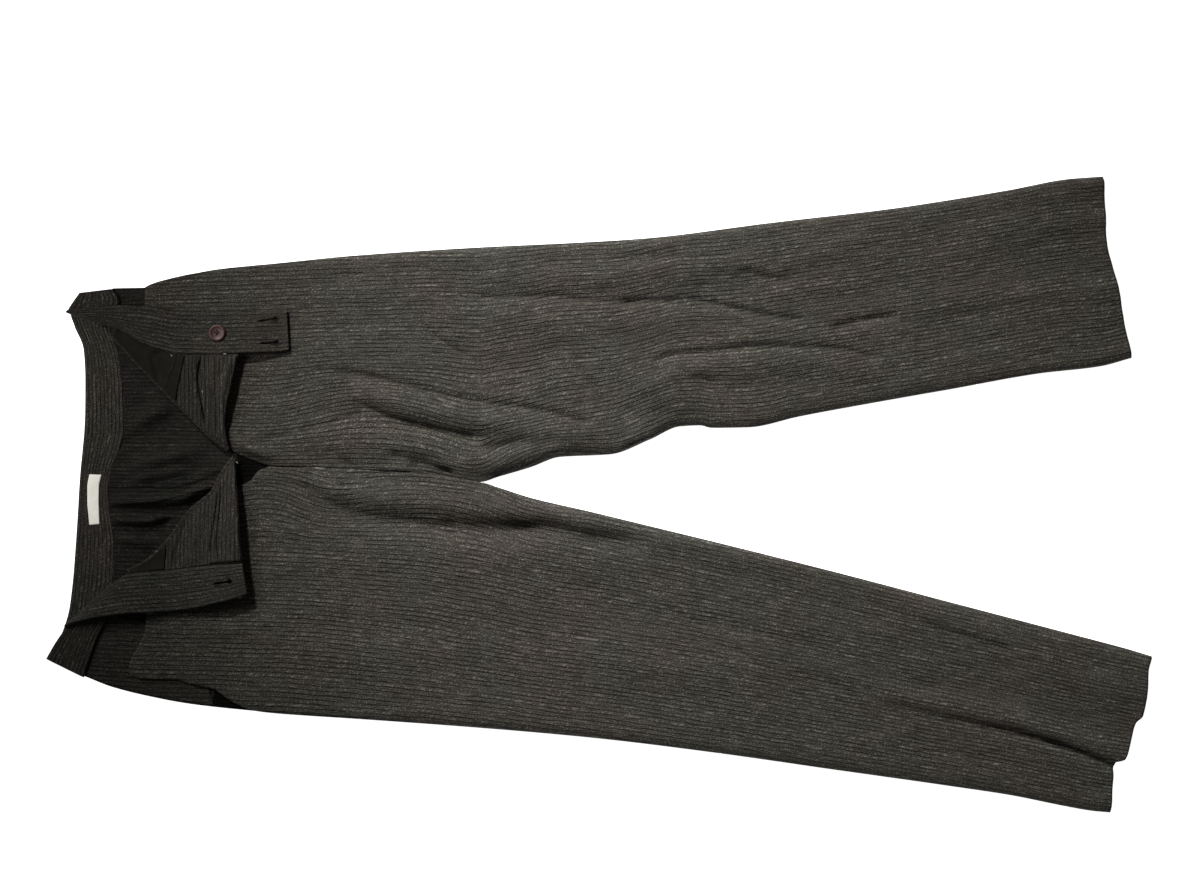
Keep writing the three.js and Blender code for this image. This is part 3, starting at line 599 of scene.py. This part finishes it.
def makeFront(front):
    # The leg is a ruled grid between its side line and inner line; the turned-back part goes on from the
    # fold, round a small roll, and lies over the leg with its reverse up.
    i, j = shares(legForm["rows"], legForm["columns"])
    right = mix(curveAt(front["mouth"], j), curveAt(front["hem"], j), i)
    near = mix(curveAt(front["side"], right), innerLine(front, right), j)
    place = grainPlace(front, right, near)
    leg = toFrame(right, near, frontHeight(front, right, near, fine=True)), place, 0

    i, j = shares(turnForm["rows"], turnForm["columns"])
    right, near, high = turnPoint(front, i, j)
    turned = rowAt(front["turn"], "fold", i[:, :1])
    away = np.array(front["foldAway"])
    unit = away / np.linalg.norm(away)
    # The pattern is turned over one straight line, across the fold at this share of its length
    mirror = rowAt(front["turn"], "fold", turnForm["mirror"])
    beyond = (right - mirror[0]) * unit[0] + (near - mirror[1]) * unit[1]
    x, y = right - 2 * beyond * unit[0], near - 2 * beyond * unit[1]
    soft = np.sin(np.pi * np.clip(j * 1.02, 0, 1)) ** 0.5
    rumple = softNoise(x / 30, y / 11, 71) + 0.6 * softNoise(x / 12, y / 5, 72)
    high = high + turnForm["rumple"] * soft * rumple
    under = frontHeight(front, turned[0], turned[1])
    radius, middle = (high[:, -1:] - under) / 2, (high[:, -1:] + under) / 2
    angle = np.linspace(0, np.pi, turnForm["roll"])[None, 1:]
    out = radius * np.sin(angle)
    roll = turned[0] + away[0] * out, turned[1] + away[1] * out
    lip = turned[0] - away[0] * turnForm["lip"], turned[1] - away[1] * turnForm["lip"]
    grid = np.concatenate([toFrame(right, near, high), toFrame(*roll, middle + radius * np.cos(angle)),
                           toFrame(*lip, under - 0.5)], axis=1)
    pattern = np.concatenate([np.stack([x, y], axis=-1), grainPlace(front, *roll), grainPlace(front, *lip)],
                             axis=1)
    patches = [leg, (grid, pattern, 1)]
    node = front["node"]
    # The leg takes the face, the turned part the reverse with painted shade
    piece = gridPiece(node + "_cloth", patches, [outerCloth, reverseShadeCloth], wall["cloth"])
    asSheet(piece, node, patches, (1.08, 0.29))


# hollow: how far right the fly's hollow starts, where the backs and the seam allowance take painted shadow
backForm = {"depth": 3.3, "lift": 1.4, "hollow": 234}
bandStart = [[near, right] for right, near in bandBack["seam"]]


def seamStart(nearAt, count):
    # Where a panel's line meets the waistband's sewn edge, found by stepping between the two a few times.
    right = np.full(count, 110.0)
    for _ in range(6):
        right = curveAt(bandStart, nearAt(right))
    return right


def backRise(right, near, rumple):
    # How far the back's cloth lifts off the floor where its inside shows: folds and rumples, never under 0.
    shown = ease(4, 20, near - curveAt(leftInner, right)) * ease(4, 20, curveAt(rightInner, right) - near)
    folded = backForm["depth"] * foldHeight(backFolds, right, near)
    return np.maximum(0, backForm["lift"] + folded + rumple) * shown


def shadowedHollowPatches(right, grid, place):
    # Splits a grid in two at the row where the fly's hollow starts, so that each part takes its own cloth:
    # the part in the hollow takes painted shadow.
    rows = int(np.argmax(right > backForm["hollow"]))
    return [(grid[: rows + 1], place[: rows + 1], 0), (grid[rows:], place[rows:], 1)]


def weldRows(piece):
    # Joins the rows that two patches of a piece share, so that its wall goes on across them.
    mesh = bmesh.new()
    mesh.from_mesh(piece.data)
    bmesh.ops.remove_doubles(mesh, verts=mesh.verts, dist=1e-6)
    mesh.to_mesh(piece.data)
    mesh.free()


def makeBack(front, sideLine):
    # The back lies flat on the floor between its side line and the middle seam or inner leg, in low folds
    # only where its inside shows.
    node = front["node"].replace("front", "back")
    i, j = shares(200, 120)
    apart = front["outward"] * 0.05
    innerNear = lambda x: np.where(x < crotch, curveAt(centreBack, x), curveAt(front["inner"], x)) + apart
    nearAt = lambda x: mix(curveAt(sideLine, x), innerNear(x), j[0])
    start = seamStart(nearAt, j.shape[1])
    right = mix(start[None, :], curveAt(front["hem"], j), i**1.3)
    near = mix(curveAt(sideLine, right), innerNear(right), j)
    place = grainPlace(front, right, near)
    rumple = 0.7 * softNoise(place[..., 0] / 22, place[..., 1] / 8, front["seed"] + 5)
    high = wall["cloth"] / 2 + backRise(right, near, rumple)
    way = front["outward"]  # the left back's grid is turned round, so that its faces point up too
    patches = shadowedHollowPatches(right[:, -1], toFrame(right, near, high)[:, ::way], place[:, ::way])
    # Up, the inside with painted shade and in the fly's hollow painted shadow; down, the face
    looks = [insideShadeCloth, hollowShadowCloth, outerCloth]
    piece = gridPiece(node + "_cloth", patches, looks, wall["cloth"], under=2)
    weldRows(piece)
    asSheet(piece, node, patches, (1.08, 0.29))


def makeFacing(front, sideLine, reach, material, flat):
    # A panel that lies on the back under the pocket's mouth, from the waistband downwards.
    node = front["node"].replace("front", "pocket_facing")
    i, j = shares(60, 36)
    nearAt = lambda x: curveAt(sideLine, x) - front["outward"] * (1 + reach * j[0])
    start = seamStart(nearAt, j.shape[1])
    right = mix(start[None, :], front["facingEnd"] - 42 - 20 * j, i)
    near = curveAt(sideLine, right) - front["outward"] * (1 + reach * j)
    high = wall["cloth"] + wall["seamGap"] + wall["lining"] / 2
    patch = toFrame(right, near, high), grainPlace(front, right, near), 0
    piece = gridPiece(node + "_cloth", [patch], [material], wall["lining"])
    asSheet(piece, node, [patch], flat)


def makeOnTurn(node, front, along, across, material, flat, slot="cloth"):
    # A piece on the turned-back reverse: that face's own points between the given shares, moved up.
    i, j = shares(70, 40)
    lift = (wall["cloth"] * 0.9 + wall["lining"]) / 2 + 1.5 * wall["seamGap"]
    a, b = mix(along[0], along[1], i), mix(across[0], across[1], j)
    right, near, high = turnPoint(front, a, b, lift)
    place = np.stack([near, right] if slot == "cloth" else [right, near], axis=-1)
    patch = toFrame(right, near, high), place, 0
    piece = gridPiece(node + "_cloth", [patch], [material], wall["lining"])
    asSheet(piece, node, [patch], flat)


def bandGrid(table, i, j):
    # The waistband is ruled between its top edge and its sewn edge; its stripes run along its length.
    top, seam = rowAt(table, "top", i), rowAt(table, "seam", i)
    right, near = mix(top[0], seam[0], j), mix(top[1], seam[1], j)
    if table is bandBack:
        return right, near, wall["band"] / 2 + 0 * right
    return right, near, mix(top[2], seam[2], j) + flapLift(table, right, j)


def withHoles(piece, cutter):
    # Cuts the cutter's bodies out of the piece and keeps the cut mesh.
    cut = piece.modifiers.new("holes", "BOOLEAN")
    cut.object, cut.solver = cutter, "EXACT"
    graph = bpy.context.evaluated_depsgraph_get()
    mesh = bpy.data.meshes.new_from_object(piece.evaluated_get(graph))
    piece.modifiers.clear()
    piece.data = mesh
    bpy.data.objects.remove(cutter)


def turnedBody(profile, count, centre, flip=1):
    # A closed body of revolution about the upright line through centre: radius and height pairs, mm.
    profile = np.asarray(profile, float)
    angle = np.arange(count) * 2 * np.pi / count * flip
    rings = profile[1:-1]
    x = rings[:, :1] * np.cos(angle)
    y = rings[:, :1] * np.sin(angle)
    z = np.broadcast_to(rings[:, 1:] * flip, x.shape)
    points = np.stack([x, y, z], axis=-1).reshape(-1, 3)
    ends = np.array([[0, 0, profile[0, 1] * flip], [0, 0, profile[-1, 1] * flip]])
    points = np.concatenate([points, ends]) * 0.001 + np.asarray(centre)
    index = np.arange(len(rings) * count).reshape(len(rings), count)
    after = np.roll(index, -1, axis=1)
    sides = np.stack([index[:-1], after[:-1], after[1:], index[1:]], axis=-1).reshape(-1, 4)
    last = len(points)
    low = np.stack([np.full(count, last - 2), after[0], index[0]], axis=-1)
    top = np.stack([np.full(count, last - 1), index[-1], after[-1]], axis=-1)
    return points, sides.tolist() + low.tolist() + top.tolist()


def bars(places, material, name):
    # Stitches: small grains of ten corners, each with its place, direction on the table, length and width.
    places = np.asarray(places, float)
    ring = np.array([[-0.5, 0, 0], [-0.3, 0.5, 0], [-0.3, 0, 0.5], [-0.3, -0.5, 0], [-0.3, 0, -0.5],
                     [0.3, 0.5, 0], [0.3, 0, 0.5], [0.3, -0.5, 0], [0.3, 0, -0.5], [0.5, 0, 0]])
    turn = np.array([[0, 1, 2], [0, 2, 3], [0, 3, 4], [0, 4, 1], [1, 5, 6], [1, 6, 2], [2, 6, 7], [2, 7, 3],
                     [3, 7, 8], [3, 8, 4], [4, 8, 5], [4, 5, 1], [9, 6, 5], [9, 7, 6], [9, 8, 7], [9, 5, 8]])
    turn = turn[:, ::-1]
    right, near, high, angle, length, wide = places.T
    x, y, z = ring[:, 0] * length[:, None], ring[:, 1] * wide[:, None], ring[:, 2] * wide[:, None]
    c, d = np.cos(angle)[:, None], np.sin(angle)[:, None]
    points = toFrame(right[:, None] + x * c - y * d, near[:, None] + x * d + y * c, high[:, None] + z)
    faces = (turn[None] + 10 * np.arange(len(places))[:, None, None]).reshape(-1, 3)
    return newObject(name, points.reshape(-1, 3), faces.tolist(), material)


def joined(name, node, pieces):
    # One object from several: the first takes the others' meshes and stands in for the CAD node.
    with bpy.context.temp_override(active_object=pieces[0], selected_editable_objects=pieces):
        bpy.ops.object.join()
    pieces[0].name = name
    if node:
        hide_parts(node)
    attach(pieces[0], "root")
    return pieces[0]


buttonholeForm = {"wide": 1.8, "eye": 4.6, "purlEvery": 0.75, "purl": 1.9, "purlWide": 0.55, "deep": 6}


def bandHeight(table, right, near):
    # Height of the band's wall at a place, from the nearest point of a fine grid of it.
    r, n, z = bandGrid(table, *shares(160, 24))
    index = np.argmin((r - right) ** 2 + (n - near) ** 2)
    return z.ravel()[index]


def makeButtonhole(table, end, eye):
    # A long slot that ends in a round eye, and the ring of purl stitches around it.
    form = buttonholeForm
    end, eye = np.array(end, float), np.array(eye, float)
    run = eye - end
    length = np.hypot(*run)
    unit, side = run / length, np.array([-run[1], run[0]]) / length
    turn = np.linspace(-0.75 * np.pi, 0.75 * np.pi, 13)
    eyeRing = eye + form["eye"] / 2 * (np.cos(turn)[:, None] * unit + np.sin(turn)[:, None] * side)
    aside, neck = side * form["wide"] / 2, eye - unit * form["eye"] / 2
    outline = np.concatenate([[end - aside, neck - aside], eyeRing, [neck + aside, end + aside]])
    high = bandHeight(table, *((end + eye) / 2))
    count = len(outline)
    low, top = [toFrame(outline[:, 0], outline[:, 1], high + z) for z in (-form["deep"], form["deep"])]
    k = np.arange(count)
    after = (k + 1) % count
    walls = np.stack([k, k + count, after + count, after], axis=-1).tolist()
    cutter = newObject("cutter", np.concatenate([low, top]), walls + [k.tolist(), (k[::-1] + count).tolist()])
    stitch, onTop = [form["purl"], form["purlWide"]], high + wall["band"] / 2 + 0.1
    purls = []
    for way in (-1, 1):
        for step in np.arange(0, length - form["eye"] / 2, form["purlEvery"]):
            at = end + unit * step + side * way * (form["wide"] / 2 + form["purl"] * 0.42)
            purls.append([*at, onTop, np.arctan2(side[1], side[0]), *stitch])
    for angle in np.linspace(-0.8 * np.pi, 0.8 * np.pi, 15):
        out = np.cos(angle) * unit + np.sin(angle) * side
        at = eye + out * (form["eye"] / 2 + form["purl"] * 0.42)
        purls.append([*at, onTop, np.arctan2(out[1], out[0]), *stitch])
    return cutter, purls


def makeBand(node, table, flat, material, holes=()):
    # The band's grid, a little uneven between its edges, with its pattern measured along its middle; then
    # its buttonholes are cut through.
    i, j = shares(200, 18)
    right, near, high = bandGrid(table, i, j)
    middle = toFrame(right, near, high)[:, 9]
    length = np.concatenate([[0], np.cumsum(np.linalg.norm(np.diff(middle, axis=0), axis=1))]) * 1000
    along = np.broadcast_to(length[:, None], i.shape)
    inset = np.sin(np.pi * j) ** 0.4
    rumple = 0.25 * softNoise(along / 17, j * 3.1, 81) + 0.12 * softNoise(along / 6, j * 6, 82)
    high = high + inset * (0.25 + rumple)
    patch = toFrame(right, near, high), np.stack([along, 41 * j], axis=-1), 0
    piece = gridPiece(node + "_cloth", [patch], [material], wall["band"])
    asSheet(piece, node, [patch], flat)
    purls = []
    for end, eye in holes:
        cutter, more = makeButtonhole(table, end, eye)
        withHoles(piece, cutter)
        purls += more
    if purls:
        stitches = bars(purls, threadLook, node + "_purls")
        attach(stitches, "root")


seamForm = {"start": 109, "end": 330, "half": 9.5, "groove": 1.2, "thick": 0.7}


def makeSeamAllowance():
    # The centre back seam from inside: two pressed-open edges lie to each side of the seam's groove.
    i, j = shares(160, 16)
    right = mix(seamForm["start"], seamForm["end"], i)
    across = mix(-seamForm["half"], seamForm["half"], j)
    near = curveAt(centreBack, right) + across
    groove = np.exp(-((across / seamForm["groove"]) ** 2))
    curl = 0.35 * ease(6, 9.5, np.abs(across)) * (1 + softNoise(right / 7, across / 4, 61))
    high = wall["cloth"] + 0.5 - 0.45 * groove + curl + backRise(right, near, 0.3)
    patches = shadowedHollowPatches(right[:, 0], toFrame(right, near, high), np.stack([right, near], axis=-1))
    # The seam allowance takes painted shade, and painted shadow in the fly's hollow
    piece = gridPiece("seam_allowance", patches, [insideShadeCloth, hollowShadowCloth], seamForm["thick"])
    weldRows(piece)
    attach(piece, "root")


for front in (frontLeft, frontRight):
    makeFront(front)
makeBack(frontLeft, backSideLeft)
makeBack(frontRight, backSideRight)
makeSeamAllowance()
# The left facing takes the inside cloth with painted shade, the right one the reverse with painted shade
makeFacing(frontLeft, backSideLeft, 60, insideShadeCloth, (0.062, 0.06))
makeFacing(frontRight, backSideRight, 72, reverseShadeCloth, (0.078, 0.112))
print("legs, backs and pocket facings ready")
leftHoles = [([259, 321.5], [276, 319.6]), ([262, 344], [277.5, 342.8])]
# The bands take shaded copies of the cloth: painted shade, least on the back band
makeBand("waistband_back", bandBack, (0.42, 0.042), backBandShadeCloth)
makeBand("waistband_left", bandLeft, (0.262, 0.042), bandShadeCloth, leftHoles)
makeBand("waistband_right", bandRight, (0.26, 0.046), bandShadeCloth, [([217, 583], [233, 580.4])])
# The fly pieces lie on the turned reverse and take its painted shade
makeOnTurn("fly_facing", frontLeft, (0.72, 0.985), (0.02, 0.97), reverseShadeCloth, (0.03, 0.075))
makeOnTurn("fly_shield", frontRight, (0.7, 0.99), (0.02, 0.985), reverseShadeCloth, (0.035, 0.1))
makeOnTurn("pocket_bag_left", frontLeft, (0.02, 0.46), (0.02, 0.97), pocketCloth, (0.06, 0.05), "lining")
makeOnTurn("pocket_bag_right", frontRight, (0.02, 0.32), (0.03, 0.96), pocketCloth, (0.03, 0.022), "lining")
print("waistband, fly and pocket bags ready")

labelEdges = {
    "left": [[89, 474.4], [87, 487], [87, 503], [88, 514], [89, 525]],
    "right": [[101, 474.8], [98.5, 486], [98.3, 500], [98.5, 513], [99, 524]],
}


def makeLabel():
    # The tape is ruled between its two long edges and swells a little between them.
    i, j = shares(40, 12)
    left, right = rowAt(labelEdges, "left", i), rowAt(labelEdges, "right", i)
    across, near = mix(left[0], right[0], j), mix(left[1], right[1], j)
    swell = 0.3 * np.sin(np.pi * j) * (1 + softNoise(i * 6, j, 5))
    high = wall["band"] + wall["seamGap"] + wall["lining"] / 2 + swell
    patch = toFrame(across, near, high), np.stack([near, across], axis=-1), 0
    piece = gridPiece("label_tape", [patch], [labelCloth], wall["lining"])
    asSheet(piece, "label", [patch], (0.0122, 0.0512))


makeLabel()
buttonForm = {
    "profile": [[0, 0], [6.0, 0], [7.7, 0.5], [8.3, 1.3], [8.2, 2.1], [7.5, 2.7], [6.6, 2.8], [5.9, 2.45],
                [5.3, 2.1], [3.2, 1.95], [0, 1.9]],
    "hole": 1.5, "holesApart": 3.6,
}
buttons = [
    {"node": "button_inner", "at": [218.8, 333.5], "high": 12.9, "flip": 1},
    {"node": "button_outer_top", "at": [186.7, 580], "high": 11.9, "flip": -1},
    {"node": "button_outer_low", "at": [185.6, 601], "high": 12.6, "flip": -1},
]


def makeButton(node, at, high, flip):
    # A turned disc with a raised rim and four holes, sewn on with two crossed bars of thread.
    body = turnedBody(buttonForm["profile"], 48, toFrame(*at, high), flip)
    disc = newObject(node + "_disc", *body, buttonLook)
    half = buttonForm["holesApart"] / 2
    pin = [[0, -4], [buttonForm["hole"] / 2, -4], [buttonForm["hole"] / 2, 6], [0, 6]]
    threads = []
    for dx, dy in ((-half, 0), (half, 0), (0, -half), (0, half)):
        withHoles(disc, newObject("pin", *turnedBody(pin, 12, toFrame(at[0] + dx, at[1] + dy, high))))
    for angle in (0, np.pi / 2):
        for shift in (-0.3, 0.3):
            middle = at[0] - shift * np.sin(angle), at[1] + shift * np.cos(angle)
            threads.append([*middle, high + flip * 2.2, angle, 2 * half + 0.8, 0.6])
    stitches = bars(threads, threadLook, node + "_thread")
    joined(node + "_piece", node, [disc, stitches])


for button in buttons:
    makeButton(**button)

# Small thread-work: the overcast edge of the left pocket bag, and four pale bar tacks
overcast = [[176.4, 354], [174.4, 365], [170.4, 374], [165, 390]]
tacks = [[227, 354.5, 0.2, 3.2], [204, 392, 1.2, 3.4], [238.5, 462.5, 0.6, 3.0], [173, 356, 0.9, 3.0]]


def makeThreadWork():
    # Stitches lie slantwise to both sides of the bag's edge, each a little off the last.
    share = np.linspace(0, 1, 34)
    path = np.stack(rowAt({"edge": overcast}, "edge", share), axis=-1)
    r, n, z = turnPoint(frontLeft, *shares(120, 80), 2.0)
    nearest = lambda at: z.ravel()[np.argmin((r - at[0]) ** 2 + (n - at[1]) ** 2)]
    wobble = softNoise(share * 20, share * 0, 91)
    places = [[*at, nearest(at) + 0.4, (0.5 if k % 2 else -0.6) + 0.4 * wobble[k], 4.2 + wobble[k], 0.5]
              for k, at in enumerate(path)]
    dark = bars(places, threadLook, "overcast_edge")
    tackPlaces = [[x, y, nearest([x, y]) + 0.7, angle, length, 0.8] for x, y, angle, length in tacks]
    pale = bars(tackPlaces, paleThread, "bar_tacks")
    for piece in (dark, pale):
        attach(piece, "root")


makeThreadWork()
print("label and buttons ready")

studio = {
    "key": 600, "keyAt": (-1.0, 1.52, 1.5), "keyAim": (0.285, -0.165, 0), "keyCone": 0.60, "keySoft": 0.09,
    "top": 1.75, "topAt": (-0.72, 0.17, 0.40), "topAim": (-0.47, 0.02, 0), "topWide": 0.25,
    "world": 0.1, "floor": (0.92, 0.92, 0.92), "floorHalf": 6, "floorDrop": 0.0004, "glow": 1.0,
}


def makeStudio():
    # A pale floor just under the cloth, two lamps and an even, dim surrounding.
    material, add, maths = newMaterial("pale floor")
    finish(add, {"Base Color": (*studio["floor"], 1), "Roughness": 0.9, "Emission Color": (1, 1, 1, 1),
                 "Emission Strength": studio["glow"]})
    half = studio["floorHalf"]
    corners = np.array([[-half, -half, 0], [half, -half, 0], [half, half, 0], [-half, half, 0]], float)
    corners[:, 2] = -studio["floorDrop"]
    newObject("floor", corners, [[0, 1, 2, 3]], material)

    def addLight(name, kind, at, aim, power, **settings):
        light = bpy.data.lights.new(name, kind)
        light.energy = power
        for key, value in settings.items():
            setattr(light, key, value)
        lamp = bpy.data.objects.new(name, light)
        lamp.location = at
        x, y, z = np.array(at) - np.array(aim)
        lamp.rotation_euler = (np.arctan2(np.hypot(x, y), z), 0, np.arctan2(y, x) + np.pi / 2)
        bpy.context.scene.collection.objects.link(lamp)

    # The key shines from the upper left in a soft-edged cone, so the waist and the hems are dimmer
    addLight("key light", "SPOT", studio["keyAt"], studio["keyAim"], studio["key"],
             spot_size=studio["keyCone"], spot_blend=1.0, shadow_soft_size=studio["keySoft"])
    addLight("top light", "AREA", studio["topAt"], studio["topAim"], studio["top"], size=studio["topWide"],
             shape="DISK")
    world = bpy.data.worlds.new("studio air")
    world.use_nodes = True
    background = world.node_tree.nodes["Background"]
    background.inputs[0].default_value = (1, 1, 1, 1)
    background.inputs[1].default_value = studio["world"]
    bpy.context.scene.world = world
    bpy.context.scene.view_settings.view_transform = "Standard"


cameraForm = {"lens": 60, "sensor": 36, "over": (-0.002, 0.0465), "clothAt": 0.005, "span": 1.195}


def makeCamera():
    # Straight above the cloth, so far that the picture's width spans it: span times lens over sensor.
    camera = bpy.data.cameras.new("camera")
    camera.sensor_width, camera.lens = cameraForm["sensor"], cameraForm["lens"]
    holder = bpy.data.objects.new("camera", camera)
    away = cameraForm["span"] * cameraForm["lens"] / cameraForm["sensor"]
    holder.location = (*cameraForm["over"], cameraForm["clothAt"] + away)
    bpy.context.scene.collection.objects.link(holder)
    bpy.context.scene.camera = holder


makeStudio()
makeCamera()
print("studio and camera ready")
